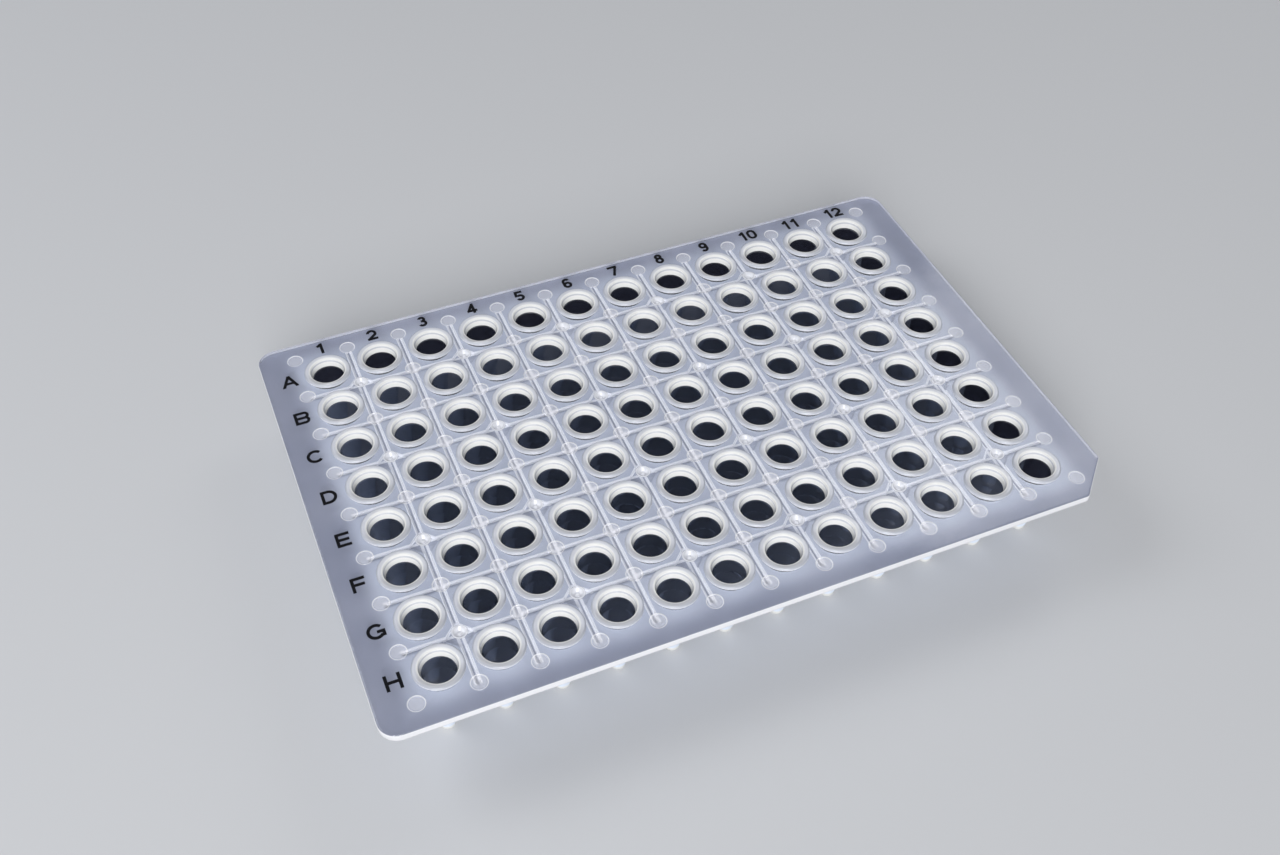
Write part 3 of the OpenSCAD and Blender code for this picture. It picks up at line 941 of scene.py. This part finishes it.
class WELLPLATE_OT_moulding(bpy.types.Operator):
    """Builds the plate: deck, ribs, wells, gates and pin marks as one closed body"""

    bl_idname = "wellplate.moulding"
    bl_label = "Moulding"

    def execute(self, context):
        scene = context.scene
        deck, well = scene.plate_deck, scene.plate_well
        layout = Layout(scene.plate_grid, deck, well)
        along = layout.column_x[-1] - layout.column_x[0] + 2 * deck.rib_overrun
        across = layout.row_y[0] - layout.row_y[-1] + 2 * deck.rib_overrun
        piece = linked("clear_plate", deck_body(deck, layout))
        in_columns = [(x, 0) for x in layout.column_gaps]
        in_rows = [(0, y) for y in layout.row_gaps]
        combine(piece, "UNION", rib_bodies(deck, layout, in_columns, (deck.rib_width, across), 0))
        combine(piece, "UNION", rib_bodies(deck, layout, in_rows, (along, deck.rib_width), HAIR))
        combine(piece, "UNION", pad_bodies(deck, layout))
        combine(piece, "UNION", well_outsides(well, layout, deck))
        combine(piece, "DIFFERENCE", well_insides(well, layout))
        combine(piece, "DIFFERENCE", dish_bodies(deck, layout))
        combine(piece, "DIFFERENCE", mark_bodies(deck, layout))
        combine(piece, "UNION", stub_bodies(deck, layout))
        smooth(piece)
        piece.data.materials.clear()
        piece.data.materials.append(plastic(scene.plate_plastic, scene.plate_grid, deck, well, layout))
        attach(piece, "root")
        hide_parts("plate")
        return {"FINISHED"}


class WELLPLATE_OT_printing(bpy.types.Operator):
    """Gives the printed letters and numbers their ink"""

    bl_idname = "wellplate.printing"
    bl_label = "Printing"

    def execute(self, context):
        finish = ink(context.scene.plate_ink)
        for name in ("row_letters", "column_numbers"):
            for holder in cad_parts[name].material_slots:
                holder.material = finish
        return {"FINISHED"}


class WELLPLATE_OT_stage(bpy.types.Operator):
    """Sets the floor, the lamps and the camera"""

    bl_idname = "wellplate.stage"
    bl_label = "Stage"

    def execute(self, context):
        scene = context.scene
        setup = scene.plate_stage
        mesh = bmesh.new()
        bmesh.ops.create_grid(mesh, x_segments=1, y_segments=1, size=setup.floor_reach)
        floor = linked("floor", mesh)
        floor.data.materials.append(floor_paint(setup))

        middle = Vector((0, 0, PLATE_HIGH.z))
        lamp("key", middle, setup.key_offset, setup.key_size, setup.key_power)
        side = lamp("side", middle, setup.side_offset, setup.side_size, setup.side_power)
        side.color = setup.side_tint
        lamp("sheen", middle, setup.sheen_offset, setup.sheen_size, setup.sheen_power)
        low = lamp("low", middle, setup.low_offset, setup.low_size, setup.low_power)
        low.use_shadow = False

        world = bpy.data.worlds.new("daylight")
        world.use_nodes = True
        backdrop = world.node_tree.nodes["Background"]
        backdrop.inputs["Color"].default_value = solid(setup.daylight_tint)
        backdrop.inputs["Strength"].default_value = setup.daylight
        scene.world = world
        scene.view_settings.view_transform = "Standard"
        aim_camera(scene, setup)
        return {"FINISHED"}


def lamp(name, target, offset, size, watts):
    """A soft white rectangular lamp that faces a target from an offset."""
    data = bpy.data.lights.new(name, "AREA")
    data.shape = "RECTANGLE"
    data.size, data.size_y = size
    data.energy = watts
    holder = bpy.data.objects.new(name, data)
    holder.location = target + Vector(offset)
    holder.rotation_euler = Vector(offset).to_track_quat("Z", "Y").to_euler()
    bpy.context.scene.collection.objects.link(holder)
    return data


def aim_camera(scene, setup):
    """Puts the camera at its viewing angle."""
    data = bpy.data.cameras.new("camera")
    data.lens = setup.lens
    data.sensor_width = SENSOR_WIDTH
    data.clip_start = 5 * MM
    holder = bpy.data.objects.new("camera", data)
    turn = Matrix.Rotation(setup.azimuth, 4, "Z") @ Matrix.Rotation(math.pi / 2 - setup.elevation, 4, "X")
    back = turn @ Vector((0, 0, setup.distance))
    placed = Matrix.Translation(Vector(setup.target) + back)
    holder.matrix_world = placed @ turn @ Matrix.Rotation(setup.roll, 4, "Z")
    scene.collection.objects.link(holder)
    scene.camera = holder


class WELLPLATE_PT_sidebar(bpy.types.Panel):
    """Lists the plate's settings and operators"""

    bl_label = "Well Plate"
    bl_idname = "WELLPLATE_PT_sidebar"
    bl_space_type = "VIEW_3D"
    bl_region_type = "UI"
    bl_category = "Well Plate"

    def draw(self, context):
        layout = self.layout
        for operator in STEPS:
            layout.operator(operator.bl_idname)
        for name, kind in GROUPS.items():
            box = layout.box()
            box.label(text=kind.__doc__)
            for setting in kind.__annotations__:
                box.prop(getattr(context.scene, name), setting)


GROUPS = {
    "plate_grid": WellGrid,
    "plate_deck": DeckSizes,
    "plate_well": WellSizes,
    "plate_plastic": PlasticFinish,
    "plate_ink": InkFinish,
    "plate_stage": StageSetup,
}
STEPS = (WELLPLATE_OT_moulding, WELLPLATE_OT_printing, WELLPLATE_OT_stage)


def register():
    """Adds the settings, operators and panel."""
    for name, kind in GROUPS.items():
        bpy.utils.register_class(kind)
        setattr(bpy.types.Scene, name, PointerProperty(type=kind))
    for kind in (*STEPS, WELLPLATE_PT_sidebar):
        bpy.utils.register_class(kind)


def unregister():
    """Removes them again."""
    for kind in reversed((*STEPS, WELLPLATE_PT_sidebar)):
        bpy.utils.unregister_class(kind)
    for name, kind in reversed(GROUPS.items()):
        delattr(bpy.types.Scene, name)
        bpy.utils.unregister_class(kind)


def main():
    """Builds everything."""
    register()
    bpy.ops.wellplate.moulding()
    bpy.ops.wellplate.printing()
    bpy.ops.wellplate.stage()


if __name__ == "__main__":
    main()
